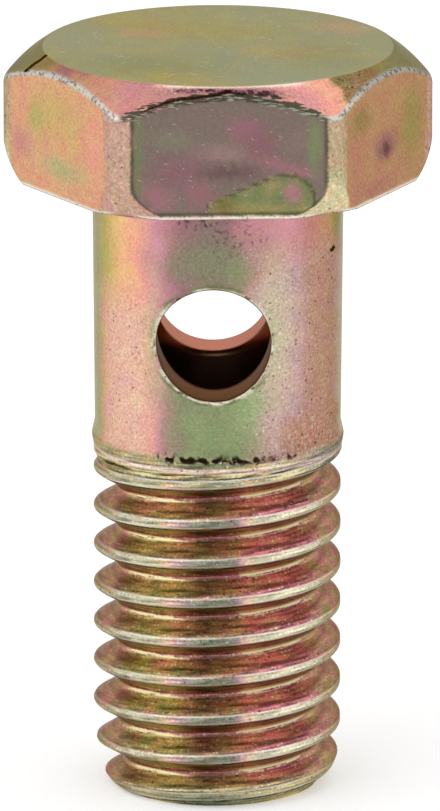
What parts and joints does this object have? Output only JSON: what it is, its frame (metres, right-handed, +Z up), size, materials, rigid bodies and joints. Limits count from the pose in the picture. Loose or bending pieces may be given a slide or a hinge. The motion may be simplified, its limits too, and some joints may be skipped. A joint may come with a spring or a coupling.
{
  "type": "banjo bolt",
  "caption": "Hexagon-headed bolt with a cross-drilled smooth shank and a blind bore up its thread, so that fluid passes from a banjo fitting into the threaded port.",
  "frame": {"origin": "centre of the bearing face under the head, on the shank's axis", "axes": "+Z up the shank's axis through the head, +Y along the cross hole, thread end towards -Z"},
  "size_m": [0.0132, 0.0118, 0.0234],
  "materials": {
    "zinc_yellow_chromate": "zinc plated steel with an iridescent yellow passivate, satin"
  },
  "bodies": {
    "root": {"banjo_bolt": "zinc_yellow_chromate"}
  },
  "joints": []
}
